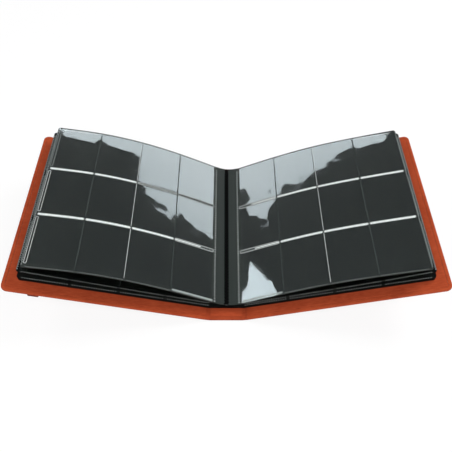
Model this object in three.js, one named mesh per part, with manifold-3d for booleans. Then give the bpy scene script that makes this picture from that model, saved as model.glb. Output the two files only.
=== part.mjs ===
// A card album with side-loading pockets, lying open on its spine with both covers raised.
// Millimetres. X runs across the open album, Y from the tail edge to the head edge, Z up.
// The origin lies under the middle of the spine, on the surface that the album rests on.
import * as THREE from "three";
import { mergeVertices } from "three/addons/utils/BufferGeometryUtils.js";
import Module from "manifold-3d";

const wasm = await Module();
wasm.setup();

// Pockets: four columns and three rows on each side of a leaf
const POCKET_PITCH = 66.5; // from one column weld to the next
const ROW_PITCH = 90.3; // from one row weld to the next
const COLUMNS = 4;
const ROWS = 3;
const BINDING_MARGIN = 20.2; // plain film between the binding and the first column
const FORE_WELD = 3; // film outside the last column's weld
const END_WELD = 1.5; // film outside the first and the last row's weld
const LEAF_CORNER = 4; // corner radius of a leaf

// Leaves
const LEAF_THICKNESS = 0.4;
const FILM_THICKNESS = 0.2; // clear pocket film on the top leaf
const PACK_LEAVES = 8; // leaves lying on each cover, under the two raised ones
const PACK_PITCH = 0.7;
const FOLD_GAP = 0.8; // between the two halves of a leaf, at its middle weld

// Case: skin, board and lining of the covers and the spine
const SKIN = 0.8;
const BOARD = 1.9;
const LINING = 0.9;
const TURN_IN = 5; // skin folded round the board's edge, seen beside the lining
const SKIN_EDGE = 1.2; // skin wall round the board's edge
const HINGE_INSET = 0.5; // board and lining end this far inside the skin at a crease
const OPEN_PAST = 1; // how far a cut runs past the face that it opens
const COVER_CORNER = 9; // corner radius of a cover
const SPINE_WIDTH = 51.8; // between the two hinge axes
const CREASE_SPINE = 2.5; // from a hinge axis to the spine board's panel
const CREASE_COVER = 4.5; // from a hinge axis to the cover board's panel
const CREASE_THICKNESS = 1.4; // skin and lining glued together
const CREASE_LIFT = 0.1; // the crease stays this much above the case's outer face
const TAIL_BORDER = 18; // cover below the leaves
const HEAD_BORDER = 9.2; // cover above the leaves
const FORE_BORDER = 20; // cover beyond the leaves' fore edge
const COVER_TILT = 16.1; // degrees, both covers raised from the table

// Binding
const SEAM_WIDTH = 4.5; // knurled weld down the middle of the leaves
const SEAM_THICKNESS = 1;
const SEAM_HEIGHT = 13; // its middle, above the table
const MARGIN_THICKNESS = 0.6; // the top leaf's margin, doubled where it is bound in
const SHOULDER_DROP = 1.3; // from the block's top to its shoulder
const SHOULDER_WIDTH = 4; // half the block's width at its shoulder
const BLOCK_HALF_BASE = 17;
const SECOND_AXIS_X = 4.2; // where the second leaf bends, beside the seam
const SECOND_AXIS_DROP = 1.9; // and below the seam's middle

// How far the first column's weld stands above the line that a raised leaf bends about
const LEFT_TOP_RISE = 6.3;
const LEFT_SECOND_RISE = 4.9;
const RIGHT_TOP_RISE = 2.1;
const RIGHT_SECOND_RISE = 2.4;

// Elastic strap on the outside of the left cover
const STRAP_WIDTH = 13;
const STRAP_THICKNESS = 1.2;
const STRAP_FROM_FORE_EDGE = 43;
const ANCHOR_LENGTH = 9;
const ANCHOR_THICKNESS = 3; // the strap's end, folded over and stitched
const ANCHOR_EXTRA = 2; // an anchor is this much wider than the strap

const STEPS_PER_COLUMN = 4; // straight stretches that a leaf's curve is made of
const CLEARANCE = 0.3;
const RECESS = 0.1; // the lining lies this much below the turned-in skin

// Each side's raised leaves, with the slope of each column in degrees
const SIDES = [
  {
    name: "left",
    sign: -1,
    topRise: LEFT_TOP_RISE,
    topSlopes: [27.8, 23.8, 17.3, 9.9],
    secondRise: LEFT_SECOND_RISE,
    secondSlopes: [17.7, 17.8, 17.9, 18],
  },
  {
    name: "right",
    sign: 1,
    topRise: RIGHT_TOP_RISE,
    topSlopes: [24.6, 21.8, 16.5, 14.2],
    secondRise: RIGHT_SECOND_RISE,
    secondSlopes: [17.5, 17.5, 18, 19.3],
  },
];

// Sizes that follow from the ones above
const CASE_THICKNESS = SKIN + BOARD + LINING + CLEARANCE + RECESS;
const LEAF_HEIGHT = ROWS * ROW_PITCH + 2 * END_WELD;
const LEAF_LENGTH = BINDING_MARGIN + COLUMNS * POCKET_PITCH + FORE_WELD;
const COVER_HEIGHT = TAIL_BORDER + LEAF_HEIGHT + HEAD_BORDER;
const HINGE_X = SPINE_WIDTH / 2;
const LEAF_TAIL = -COVER_HEIGHT / 2 + TAIL_BORDER;
const LEAF_HEAD = LEAF_TAIL + LEAF_HEIGHT;
const PACK_BASE = CASE_THICKNESS + CLEARANCE + LEAF_THICKNESS / 2;
const BLOCK_TOP = SEAM_HEIGHT - SEAM_THICKNESS / 2 - CLEARANCE;
const BLOCK_BASE = CASE_THICKNESS + CLEARANCE;
const TILT = THREE.MathUtils.degToRad(COVER_TILT);

const finish = (color, roughness) =>
  new THREE.MeshStandardMaterial({ color, roughness, metalness: 0 });
const MATERIALS = {
  skin: () => finish(0xa8502f, 0.55),
  lining: () => finish(0xa24a2b, 0.6),
  board: () => finish(0x8f8778, 0.9),
  crease: () => finish(0x8f4226, 0.55),
  leaf: () => finish(0x343a38, 0.4),
  film: () => finish(0xaebfc6, 0.15),
  binding: () => finish(0x1d1f1f, 0.6),
  strap: () => finish(0x8a3a20, 0.8),
};

// Solids and meshes
function manifoldOf(geometry) {
  const bare = geometry.index ? geometry.toNonIndexed() : geometry.clone();
  bare.deleteAttribute("normal");
  bare.deleteAttribute("uv");
  const merged = mergeVertices(bare, 1e-4);
  return new wasm.Manifold(
    new wasm.Mesh({
      numProp: 3,
      vertProperties: merged.attributes.position.array,
      triVerts: new Uint32Array(merged.index.array),
    }),
  );
}

function geometryOf(solid) {
  const mesh = solid.getMesh();
  const positions = new Float32Array(mesh.numVert * 3);
  for (let v = 0; v < mesh.numVert; v++) {
    for (let k = 0; k < 3; k++) positions[3 * v + k] = mesh.vertProperties[v * mesh.numProp + k];
  }
  const geometry = new THREE.BufferGeometry();
  geometry.setAttribute("position", new THREE.BufferAttribute(positions, 3));
  geometry.setIndex(new THREE.BufferAttribute(new Uint32Array(mesh.triVerts), 1));
  geometry.computeVertexNormals();
  return geometry;
}

function addPiece(group, name, geometry, material) {
  const mesh = new THREE.Mesh(geometry, material);
  mesh.name = name;
  group.add(mesh);
  return mesh;
}

// An outline drawn in X and Z, carried along Y
function alongY(outline, yLow, yHigh) {
  const geometry = new THREE.ExtrudeGeometry(new THREE.Shape(outline), {
    depth: yHigh - yLow,
    bevelEnabled: false,
  });
  geometry.rotateX(Math.PI / 2);
  geometry.translate(0, yHigh, 0);
  return geometry;
}

// The outline of a sheet of even thickness whose middle follows the points
function sheetOutline(points, thickness, lift = 0) {
  const sideAt = (i) => {
    const before = points[Math.max(i - 1, 0)];
    const here = points[i];
    const after = points[Math.min(i + 1, points.length - 1)];
    const into = i > 0 ? here.clone().sub(before) : after.clone().sub(here);
    const out = i < points.length - 1 ? after.clone().sub(here) : into.clone();
    const half = (out.angle() - into.angle()) / 2;
    const direction = into.normalize().rotateAround(new THREE.Vector2(), half);
    return new THREE.Vector2(-direction.y, direction.x).multiplyScalar(1 / Math.cos(half));
  };
  const row = (offset) => points.map((p, i) => p.clone().addScaledVector(sideAt(i), offset));
  return [...row(lift + thickness / 2), ...row(lift - thickness / 2).reverse()];
}

const mirrored = (points, sign) => points.map((p) => new THREE.Vector2(sign * p.x, p.y));

// Leaves
const polar = (length, degrees) => {
  const angle = THREE.MathUtils.degToRad(degrees);
  return new THREE.Vector2(length * Math.cos(angle), length * Math.sin(angle));
};

const slopeOf = (from, to) => THREE.MathUtils.radToDeg(to.clone().sub(from).angle());

// Slope at a distance into the columns: each column has its own slope at its middle
function columnSlope(slopes, distance) {
  const place = distance / POCKET_PITCH - 0.5;
  const low = THREE.MathUtils.clamp(Math.floor(place), 0, slopes.length - 1);
  const high = Math.min(low + 1, slopes.length - 1);
  const share = THREE.MathUtils.clamp(place - low, 0, 1);
  return THREE.MathUtils.lerp(slopes[low], slopes[high], share);
}

function walkColumns(start, slopes, from, to) {
  const step = POCKET_PITCH / STEPS_PER_COLUMN;
  const count = Math.max(1, Math.round((to - from) / step));
  const points = [start.clone()];
  for (let i = 0; i < count; i++) {
    const length = (to - from) / count;
    const middle = from + (i + 0.5) * length;
    points.push(points[i].clone().add(polar(length, columnSlope(slopes, middle))));
  }
  return points;
}

// The middle line of a raised leaf: a straight margin, then the columns up to the fore edge
function leafLine(axis, rise, slopes) {
  const across = Math.sqrt(BINDING_MARGIN ** 2 - rise ** 2);
  const weld = new THREE.Vector2(axis.x + across, axis.y + rise);
  const half = (COLUMNS / 2) * POCKET_PITCH;
  const end = COLUMNS * POCKET_PITCH + FORE_WELD;
  const toMiddle = walkColumns(weld, slopes, 0, half);
  const middle = toMiddle[toMiddle.length - 1];
  const toEdge = walkColumns(middle, slopes, half, end);
  return { axis, weld, middle, toMiddle, toEdge, marginSlope: slopeOf(axis, weld) };
}

const shortened = (points, atStart, atEnd) => {
  const cut = points.map((p) => p.clone());
  const last = cut.length - 1;
  cut[0].add(polar(atStart, slopeOf(points[0], points[1])));
  cut[last].sub(polar(atEnd, slopeOf(points[last - 1], points[last])));
  return cut;
};

function sheet(points, sign, thickness, lift = 0) {
  const outline = mirrored(sheetOutline(points, thickness, lift), sign);
  return alongY(outline, LEAF_TAIL, LEAF_HEAD);
}

// Rounds a leaf's two corners at the fore edge, cutting straight down through the sheet
function roundForeCorners(geometry) {
  geometry.computeBoundingBox();
  const box = geometry.boundingBox;
  const outward = Math.abs(box.max.x) > Math.abs(box.min.x) ? 1 : -1;
  const fore = outward > 0 ? box.max.x : box.min.x;
  const inner = outward > 0 ? box.min.x - OPEN_PAST : box.max.x + OPEN_PAST;
  const shape = roundedEnd(inner, fore, LEAF_TAIL, LEAF_HEAD, LEAF_CORNER);
  const depth = box.max.z - box.min.z + 2 * OPEN_PAST;
  const stencil = new THREE.ExtrudeGeometry(shape, { depth, bevelEnabled: false, curveSegments: 4 });
  stencil.translate(0, 0, box.min.z - OPEN_PAST);
  return geometryOf(manifoldOf(geometry).intersect(manifoldOf(stencil)));
}

// A rectangle with two round corners, at the end that xRound names
function roundedEnd(xSquare, xRound, yLow, yHigh, radius) {
  const sign = Math.sign(xRound - xSquare);
  const corner = xRound - sign * radius;
  const shape = new THREE.Shape();
  shape.moveTo(xSquare, yLow);
  shape.lineTo(corner, yLow);
  shape.quadraticCurveTo(xRound, yLow, xRound, yLow + radius);
  shape.lineTo(xRound, yHigh - radius);
  shape.quadraticCurveTo(xRound, yHigh, corner, yHigh);
  shape.lineTo(xSquare, yHigh);
  shape.closePath();
  return shape;
}

function addTopLeaf(group, side) {
  const line = leafLine(new THREE.Vector2(0, SEAM_HEIGHT), side.topRise, side.topSlopes);
  const marginStart = polar(SEAM_WIDTH / 2 + CLEARANCE, line.marginSlope).add(line.axis);
  const margin = shortened([marginStart, line.weld], 0, FOLD_GAP / 2);
  const innerCut = shortened(line.toMiddle, FOLD_GAP / 2, FOLD_GAP / 2);
  const outerCut = shortened(line.toEdge, FOLD_GAP / 2, 0);
  const filmLift = LEAF_THICKNESS / 2 + CLEARANCE + FILM_THICKNESS / 2;
  const name = `${side.name}_top_leaf`;
  const { sign } = side;
  addPiece(group, `${name}_margin`, sheet(margin, sign, MARGIN_THICKNESS), MATERIALS.leaf());
  addPiece(group, `${name}_inner_sheet`, sheet(innerCut, sign, LEAF_THICKNESS), MATERIALS.leaf());
  const outer = roundForeCorners(sheet(outerCut, sign, LEAF_THICKNESS));
  addPiece(group, `${name}_outer_sheet`, outer, MATERIALS.leaf());
  const innerFilm = sheet(innerCut, sign, FILM_THICKNESS, filmLift);
  addPiece(group, `${name}_inner_film`, innerFilm, MATERIALS.film());
  const outerFilm = roundForeCorners(sheet(outerCut, sign, FILM_THICKNESS, filmLift));
  addPiece(group, `${name}_outer_film`, outerFilm, MATERIALS.film());
}

function addSecondLeaf(group, side) {
  const axis = new THREE.Vector2(SECOND_AXIS_X, SEAM_HEIGHT - SECOND_AXIS_DROP);
  const line = leafLine(axis, side.secondRise, side.secondSlopes);
  const root = axis.clone().add(polar(2 * CLEARANCE, line.marginSlope));
  const inner = shortened([root, ...line.toMiddle], 0, FOLD_GAP / 2);
  const outer = shortened(line.toEdge, FOLD_GAP / 2, 0);
  const name = `${side.name}_second_leaf`;
  addPiece(group, `${name}_inner`, sheet(inner, side.sign, LEAF_THICKNESS), MATERIALS.leaf());
  const outerSolid = roundForeCorners(sheet(outer, side.sign, LEAF_THICKNESS));
  addPiece(group, `${name}_outer`, outerSolid, MATERIALS.leaf());
}

// Where the binding block's sloping side lies at a height
function blockSideX(z) {
  const shoulderZ = BLOCK_TOP - SHOULDER_DROP;
  const share = (z - BLOCK_BASE) / (shoulderZ - BLOCK_BASE);
  return THREE.MathUtils.lerp(BLOCK_HALF_BASE, SHOULDER_WIDTH, share);
}

// The lower leaves lie flat on the spine, bend up at the hinge and lie flat on the cover
function addPack(group, side) {
  const shoulderZ = BLOCK_TOP - SHOULDER_DROP;
  const sideSlope = (BLOCK_HALF_BASE - SHOULDER_WIDTH) / (shoulderZ - BLOCK_BASE);
  const rootGap = CLEARANCE * Math.hypot(1, sideSlope);
  for (let i = 0; i < PACK_LEAVES; i++) {
    const height = PACK_BASE + i * PACK_PITCH;
    const root = new THREE.Vector2(blockSideX(height - LEAF_THICKNESS / 2) + rootGap, height);
    const bend = new THREE.Vector2(HINGE_X - height * Math.tan(TILT / 2), height);
    const rest = LEAF_LENGTH + SEAM_WIDTH - bend.x;
    const fore = bend.clone().add(polar(rest, COVER_TILT));
    const solid = roundForeCorners(sheet([root, bend, fore], side.sign, LEAF_THICKNESS));
    const number = String(PACK_LEAVES + 2 - i).padStart(2, "0");
    addPiece(group, `${side.name}_leaf_${number}`, solid, MATERIALS.leaf());
  }
}

// Case panels: a skin with its edges turned in, a board inside it and a lining in the opening
function plate(shape, low, high) {
  const geometry = new THREE.ExtrudeGeometry(shape, {
    depth: high - low,
    bevelEnabled: false,
    curveSegments: 6,
  });
  geometry.translate(0, 0, low);
  return manifoldOf(geometry);
}

function addCasePanel(group, name, panelShape) {
  const liningLow = CASE_THICKNESS - LINING - RECESS;
  const slab = plate(panelShape(0, 0), 0, CASE_THICKNESS);
  const boardRoom = plate(panelShape(SKIN_EDGE, -OPEN_PAST), SKIN, liningLow);
  const liningRoom = plate(panelShape(TURN_IN, -OPEN_PAST), liningLow, CASE_THICKNESS + OPEN_PAST);
  const skin = slab.subtract(boardRoom).subtract(liningRoom);
  const boardShape = panelShape(SKIN_EDGE + CLEARANCE, HINGE_INSET);
  const board = plate(boardShape, SKIN + CLEARANCE, liningLow - CLEARANCE);
  const liningShape = panelShape(TURN_IN + CLEARANCE, HINGE_INSET);
  const lining = plate(liningShape, liningLow, CASE_THICKNESS - RECESS);
  addPiece(group, `${name}_skin`, geometryOf(skin), MATERIALS.skin());
  addPiece(group, `${name}_board`, geometryOf(board), MATERIALS.board());
  addPiece(group, `${name}_lining`, geometryOf(lining), MATERIALS.lining());
}

const COVER_WIDTH = LEAF_LENGTH + SEAM_WIDTH - HINGE_X + FORE_BORDER;

// The outline of a cover, drawn in by inset on three sides and by hingeInset at its hinge
function coverShape(inset, hingeInset) {
  const yHalf = COVER_HEIGHT / 2 - inset;
  const radius = Math.max(COVER_CORNER - inset, 1);
  return roundedEnd(CREASE_COVER + hingeInset, COVER_WIDTH - inset, -yHalf, yHalf, radius);
}

function spineShape(inset, sideInset) {
  const xHalf = HINGE_X - CREASE_SPINE - sideInset;
  const yHalf = COVER_HEIGHT / 2 - inset;
  return new THREE.Shape([
    new THREE.Vector2(-xHalf, -yHalf),
    new THREE.Vector2(xHalf, -yHalf),
    new THREE.Vector2(xHalf, yHalf),
    new THREE.Vector2(-xHalf, yHalf),
  ]);
}

// A group whose X runs outward along a raised cover, from its hinge axis
function coverGroup(sign) {
  const group = new THREE.Group();
  group.position.set(sign * HINGE_X, 0, 0);
  group.rotation.set(0, -sign * TILT, sign < 0 ? Math.PI : 0);
  return group;
}

function addCrease(group, side) {
  const middle = CREASE_LIFT + CREASE_THICKNESS / 2;
  const fromSpine = new THREE.Vector2(HINGE_X - CREASE_SPINE + CLEARANCE, middle);
  const bend = new THREE.Vector2(HINGE_X - middle * Math.tan(TILT / 2), middle);
  const reach = CREASE_COVER - CLEARANCE + middle * Math.tan(TILT / 2);
  const toCover = bend.clone().add(polar(reach, COVER_TILT));
  const outline = sheetOutline([fromSpine, bend, toCover], CREASE_THICKNESS);
  const half = COVER_HEIGHT / 2;
  const geometry = alongY(mirrored(outline, side.sign), -half, half);
  addPiece(group, `${side.name}_hinge_crease`, geometry, MATERIALS.crease());
}

function addStrap(cover) {
  const middle = COVER_WIDTH - STRAP_FROM_FORE_EDGE;
  const outside = (thickness) => -CLEARANCE - thickness / 2;
  const anchorWidth = STRAP_WIDTH + ANCHOR_EXTRA;
  const anchorY = (COVER_HEIGHT - ANCHOR_LENGTH) / 2;
  const length = COVER_HEIGHT - 2 * (ANCHOR_LENGTH + CLEARANCE);
  const strap = new THREE.BoxGeometry(STRAP_WIDTH, length, STRAP_THICKNESS);
  strap.translate(middle, 0, outside(STRAP_THICKNESS));
  addPiece(cover, "elastic_strap", strap, MATERIALS.strap());
  // The left cover's group is turned half round, so its far end is the album's tail
  for (const [end, y] of [["tail", anchorY], ["head", -anchorY]]) {
    const anchor = new THREE.BoxGeometry(anchorWidth, ANCHOR_LENGTH, ANCHOR_THICKNESS);
    anchor.translate(middle, y, outside(ANCHOR_THICKNESS));
    addPiece(cover, `strap_anchor_${end}`, anchor, MATERIALS.strap());
  }
}

function addBinding(group) {
  const shoulderZ = BLOCK_TOP - SHOULDER_DROP;
  const half = [
    new THREE.Vector2(SEAM_WIDTH / 2, BLOCK_TOP),
    new THREE.Vector2(SHOULDER_WIDTH, shoulderZ),
    new THREE.Vector2(BLOCK_HALF_BASE, BLOCK_BASE),
  ];
  const outline = [...half, ...mirrored(half, -1).reverse()];
  addPiece(group, "binding_block", alongY(outline, LEAF_TAIL, LEAF_HEAD), MATERIALS.binding());
  const seam = new THREE.BoxGeometry(SEAM_WIDTH, LEAF_HEIGHT, SEAM_THICKNESS);
  seam.translate(0, (LEAF_TAIL + LEAF_HEAD) / 2, SEAM_HEIGHT);
  addPiece(group, "binding_seam", seam, MATERIALS.binding());
}

const album = new THREE.Group();
addCasePanel(album, "spine", spineShape);
addBinding(album);
for (const side of SIDES) {
  const cover = coverGroup(side.sign);
  album.add(cover);
  addCasePanel(cover, `${side.name}_cover`, coverShape);
  addCrease(album, side);
  addPack(album, side);
  addSecondLeaf(album, side);
  addTopLeaf(album, side);
  if (side.name === "left") addStrap(cover);
}

export default album;
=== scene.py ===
# %% [markdown]
# # A card album, dressed
#
# The album lies open on its spine. Its case is artificial leather over board, its leaves are black
# sheets with clear pocket film welded on, and a knurled seam holds the leaves in the middle. The
# solids of the frame give every size and place. The cells below build the fine surface over them,
# piece by piece, and the skins and linings of the covers and spine, the seam, the block and the
# strap's end tabs hang from the body that they belong to.

# %% Load the frame
import math

import bmesh
import bpy
import numpy as np
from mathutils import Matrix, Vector


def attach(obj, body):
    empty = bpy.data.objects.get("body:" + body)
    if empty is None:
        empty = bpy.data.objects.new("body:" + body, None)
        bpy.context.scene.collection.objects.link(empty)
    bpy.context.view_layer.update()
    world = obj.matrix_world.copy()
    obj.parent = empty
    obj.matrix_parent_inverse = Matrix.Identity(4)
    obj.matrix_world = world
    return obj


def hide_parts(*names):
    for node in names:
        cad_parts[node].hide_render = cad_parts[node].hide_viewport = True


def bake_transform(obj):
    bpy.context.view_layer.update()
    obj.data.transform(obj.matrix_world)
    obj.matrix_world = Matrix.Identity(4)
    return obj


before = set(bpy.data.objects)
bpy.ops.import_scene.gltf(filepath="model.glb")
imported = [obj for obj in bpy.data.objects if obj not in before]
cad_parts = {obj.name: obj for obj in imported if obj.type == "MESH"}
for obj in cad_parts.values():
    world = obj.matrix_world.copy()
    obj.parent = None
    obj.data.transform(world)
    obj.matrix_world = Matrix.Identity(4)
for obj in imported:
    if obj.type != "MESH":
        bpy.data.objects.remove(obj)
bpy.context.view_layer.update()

scene = bpy.context.scene
MM = 0.001

# %% [markdown]
# ## Camera
#
# The photo was taken from in front of the tail edge and from above. A pinhole camera was fitted to
# the crossings of the pocket welds, so its place and lens are numbers here, and nothing is shifted.

# %% Camera
CAMERA_PLACE = (-0.0007, -0.5528, 0.7147)
CAMERA_TURN = math.radians(38.94)
CAMERA_LENS = 44.7


def add_object(name, data):
    """An object with this data, linked into the scene."""
    thing = bpy.data.objects.new(name, data)
    scene.collection.objects.link(thing)
    return thing


camera_data = bpy.data.cameras.new("album_camera")
camera_data.lens = CAMERA_LENS
camera_data.sensor_width = 36
camera = add_object("album_camera", camera_data)
camera.location = CAMERA_PLACE
camera.rotation_euler = (CAMERA_TURN, 0, 0)
scene.camera = camera
scene.view_settings.view_transform = "Standard"
print("camera", CAMERA_PLACE, "lens", CAMERA_LENS)

# %% [markdown]
# ## Shader helpers
#
# Every finish is one Principled shader. A number that is the same everywhere is set on the shader's
# own socket. What changes over the surface comes from node groups, which several finishes share:
# mottled colour, leather grain, and the marks that handling leaves.

# %% Node helpers
def plug(tree, socket, value):
    """Feeds an input socket: another socket is linked to it, anything else is its plain value."""
    if isinstance(value, bpy.types.NodeSocket):
        tree.links.new(value, socket)
    else:
        socket.default_value = value


def add_node(tree, kind, settings=None, **sockets):
    """A node with its settings; From_Min, for one, feeds the socket called From Min."""
    node = tree.nodes.new(kind)
    for key, value in (settings or {}).items():
        setattr(node, key, value)
    for label, value in sockets.items():
        plug(tree, node.inputs[label.replace("_", " ")], value)
    return node


def new_group(name, inputs, outputs, kind="Shader"):
    """A node group with named sockets, and its input and output nodes."""
    tree = bpy.data.node_groups.new(name, f"{kind}NodeTree")
    for in_out, sockets in (("INPUT", inputs), ("OUTPUT", outputs)):
        for label, what, *value in sockets:
            socket = tree.interface.new_socket(
                name=label, in_out=in_out, socket_type=f"NodeSocket{what}")
            if value:
                socket.default_value = value[0]
    return tree, tree.nodes.new("NodeGroupInput"), tree.nodes.new("NodeGroupOutput")


def mixed(tree, kind, share, low, high):
    """The result of a Mix node, for numbers (FLOAT) or colours (RGBA)."""
    node = add_node(tree, "ShaderNodeMix", {"data_type": kind})
    first, result = {"FLOAT": (2, 0), "RGBA": (6, 2)}[kind]
    for index, value in ((0, share), (first, low), (first + 1, high)):
        plug(tree, node.inputs[index], value)
    return node.outputs[result]


def calculated(tree, operation, *values):
    """The result of a Math node."""
    node = add_node(tree, "ShaderNodeMath", {"operation": operation})
    for socket, value in zip(node.inputs, values):
        plug(tree, socket, value)
    return node.outputs[0]


print("node helpers ready")


# %% Finish helpers
def new_finish(name, **sockets):
    """A material, its node tree and its Principled shader, with plain values set on the shader."""
    material = bpy.data.materials.new(name)
    material.use_nodes = True
    tree = material.node_tree
    shader = tree.nodes["Principled BSDF"]
    for label, value in sockets.items():
        shader.inputs[label.replace("_", " ")].default_value = value
    return material, tree, shader


def use_group(tree, group, **sockets):
    """One use of a node group inside a material, with its own values."""
    return add_node(tree, "ShaderNodeGroup", {"node_tree": group}, **sockets)


def add_relief(tree, shader, height, strength, depth):
    """Lets a height tilt the shader's normal."""
    bump = add_node(tree, "ShaderNodeBump", Strength=strength, Distance=depth, Height=height)
    plug(tree, shader.inputs["Normal"], bump.outputs["Normal"])


def rgb(red, green, blue):
    """A colour picked on a screen, 0 to 255, as the linear colour that a shader expects."""
    def linear(level):
        share = level / 255
        return share / 12.92 if share <= 0.04045 else ((share + 0.055) / 1.055) ** 2.4

    return (linear(red), linear(green), linear(blue), 1)


print("rust on screen is", [round(c, 3) for c in rgb(168, 74, 46)])

# %% [markdown]
# ## Mottled colour
#
# The cover is not one flat orange. It has soft darker clouds and faint brushed streaks, as printed
# artificial leather has. Two noises do it: a broad one for the clouds and a stretched one for the
# brushing. Both read Object coordinates, so the pattern runs on from one panel to the next.

# %% Mottle group
mottle, mottle_in, mottle_out = new_group(
    "mottle",
    [("Light", "Color", rgb(178, 80, 52)), ("Dark", "Color", rgb(140, 54, 32)),
     ("Cloud Scale", "Float", 22), ("Streaks", "Float", 0.4)],
    [("Color", "Color"), ("Mask", "Float")],
)
place = add_node(mottle, "ShaderNodeTexCoord").outputs["Object"]
cloud = add_node(mottle, "ShaderNodeTexNoise", Vector=place,
                 Scale=mottle_in.outputs["Cloud Scale"], Detail=6, Roughness=0.62)
stretched = add_node(mottle, "ShaderNodeMapping", Vector=place, Scale=(1, 7, 3))
brushing = add_node(mottle, "ShaderNodeTexNoise", Vector=stretched.outputs["Vector"],
                    Scale=90, Detail=4, Roughness=0.6)
masks = mixed(mottle, "FLOAT", mottle_in.outputs["Streaks"],
              cloud.outputs["Fac"], brushing.outputs["Fac"])
contrast = add_node(mottle, "ShaderNodeMapRange", Value=masks, From_Min=0.32, From_Max=0.68)
mask = contrast.outputs["Result"]
tint = mixed(mottle, "RGBA", mask, mottle_in.outputs["Dark"], mottle_in.outputs["Light"])
plug(mottle, mottle_out.inputs["Color"], tint)
plug(mottle, mottle_out.inputs["Mask"], mask)
print("mottle:", len(mottle.nodes), "nodes")

# %% [markdown]
# ## Leather grain
#
# The embossed grain is small pebbles about 0.8 mm across, with finer pores between them. A Voronoi
# texture gives the pebbles and a noise the pores. The group puts out a height for the Bump node.

# %% Grain group
grain, grain_in, grain_out = new_group(
    "grain", [("Pebble Scale", "Float", 1250), ("Pores", "Float", 0.35)], [("Height", "Float")])
place = add_node(grain, "ShaderNodeTexCoord").outputs["Object"]
pebbles = add_node(grain, "ShaderNodeTexVoronoi", {"feature": "SMOOTH_F1"}, Vector=place,
                   Scale=grain_in.outputs["Pebble Scale"], Smoothness=0.6)
pores = add_node(grain, "ShaderNodeTexNoise", Vector=place, Scale=2600, Detail=2)
plug(grain, grain_out.inputs["Height"],
     mixed(grain, "FLOAT", grain_in.outputs["Pores"],
           pebbles.outputs["Distance"], pores.outputs["Fac"]))
print("grain:", len(grain.nodes), "nodes")

# %% [markdown]
# ## Handling marks
#
# Plastic leaves pick up faint smears and fine scuffs. The group gives a roughness that wanders a
# little round its middle, and a height for the slight orange peel of pressed plastic sheet.

# %% Handling group
handling, handling_in, handling_out = new_group(
    "handling",
    [("Roughness", "Float", 0.3), ("Spread", "Float", 0.08), ("Smear Scale", "Float", 18),
     ("Peel Scale", "Float", 300)],
    [("Roughness", "Float"), ("Height", "Float")],
)
given = handling_in.outputs
place = add_node(handling, "ShaderNodeTexCoord").outputs["Object"]
smears = add_node(handling, "ShaderNodeTexNoise", Vector=place, Scale=given["Smear Scale"],
                  Detail=5, Roughness=0.65, Distortion=0.6)
centred = calculated(handling, "SUBTRACT", smears.outputs["Fac"], 0.5)
peel = add_node(handling, "ShaderNodeTexNoise", Vector=place, Scale=given["Peel Scale"], Detail=3)
plug(handling, handling_out.inputs["Roughness"],
     calculated(handling, "MULTIPLY_ADD", centred, given["Spread"], given["Roughness"]))
plug(handling, handling_out.inputs["Height"], peel.outputs["Fac"])
print("handling:", len(handling.nodes), "nodes")

# %% [markdown]
# ## Finishes
#
# The leather skin, the lining, the creases and the strap's ends use mottle and grain with their own
# values. The black sheet, the pocket film, the welds and the binding use the handling marks.

# %% Leather finishes
def leather(name, light, dark, roughness, depth, pebble_scale=1250, streaks=0.4):
    """Artificial leather: mottled colour and an embossed grain."""
    material, tree, shader = new_finish(name, Roughness=roughness, Specular_IOR_Level=0.04)
    colour = use_group(tree, mottle, Light=light, Dark=dark, Streaks=streaks)
    relief = use_group(tree, grain, Pebble_Scale=pebble_scale)
    plug(tree, shader.inputs["Base Color"], colour.outputs["Color"])
    add_relief(tree, shader, relief.outputs["Height"], 0.5, depth)
    return material


SKIN = leather("rust_skin", rgb(176, 78, 46), rgb(138, 54, 30), 0.55, 0.00012)
LINING = leather("rust_lining", rgb(174, 76, 45), rgb(140, 55, 31), 0.6, 0.00006, 1700, 0.55)
# The spine's skin is a darker copy of the rust leather: painted shade, so that the spine, which
# faces the lamps more squarely, is no brighter than the covers.
SHADED_SPINE_SKIN = leather("rust_spine_skin_painted_shade", rgb(162, 70, 41), rgb(127, 49, 27), 0.55, 0.00012)
CREASE = leather("rust_crease", rgb(172, 75, 45), rgb(136, 53, 30), 0.55, 0.00012)
# The strap's end tabs get a darker copy of the rust leather: painted shade, as the strap has the
# cover's colour.
SHADED_ANCHOR = leather("strap_end_leather_painted_shade", rgb(120, 44, 28), rgb(86, 30, 20), 0.6, 0.0001)
print("leather finishes ready")


# %% Plastic finishes
def plastic(name, colour, roughness, spread=0.08, peel=0.00003, peel_scale=300, **sockets):
    """Pressed plastic: an even colour, wandering roughness and a slight orange peel."""
    material, tree, shader = new_finish(name, Base_Color=colour, **sockets)
    marks = use_group(tree, handling, Roughness=roughness, Spread=spread, Peel_Scale=peel_scale)
    plug(tree, shader.inputs["Roughness"], marks.outputs["Roughness"])
    add_relief(tree, shader, marks.outputs["Height"], 0.4, peel)
    return material


SHEET = plastic("black_sheet", rgb(51, 54, 51), 0.46, Specular_IOR_Level=0.3)
# A darker copy of the black sheet for the leaves under the top leaf: painted shade, for the shadow
# that the stacked leaves cast on each other.
SHADED_STACK_SHEET = plastic("stacked_sheet_painted_shade", rgb(12, 14, 13), 0.6, Specular_IOR_Level=0.08)
FILM = plastic("pocket_film", (0.92, 0.95, 0.94, 1), 0.03, 0.02, 0.000002, 160,
               Transmission_Weight=1.0, IOR=1.52, Specular_Tint=(0.79, 0.93, 1, 1))
# The bright weld colour is partly the milky look of welded film and partly a painted highlight: it
# is lighter than the welds themselves, for the glints that their ridges and dots catch.
WELD = plastic("milky_weld_and_painted_highlight", rgb(232, 238, 236), 0.3, 0.1, 0.00005, 900)
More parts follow.
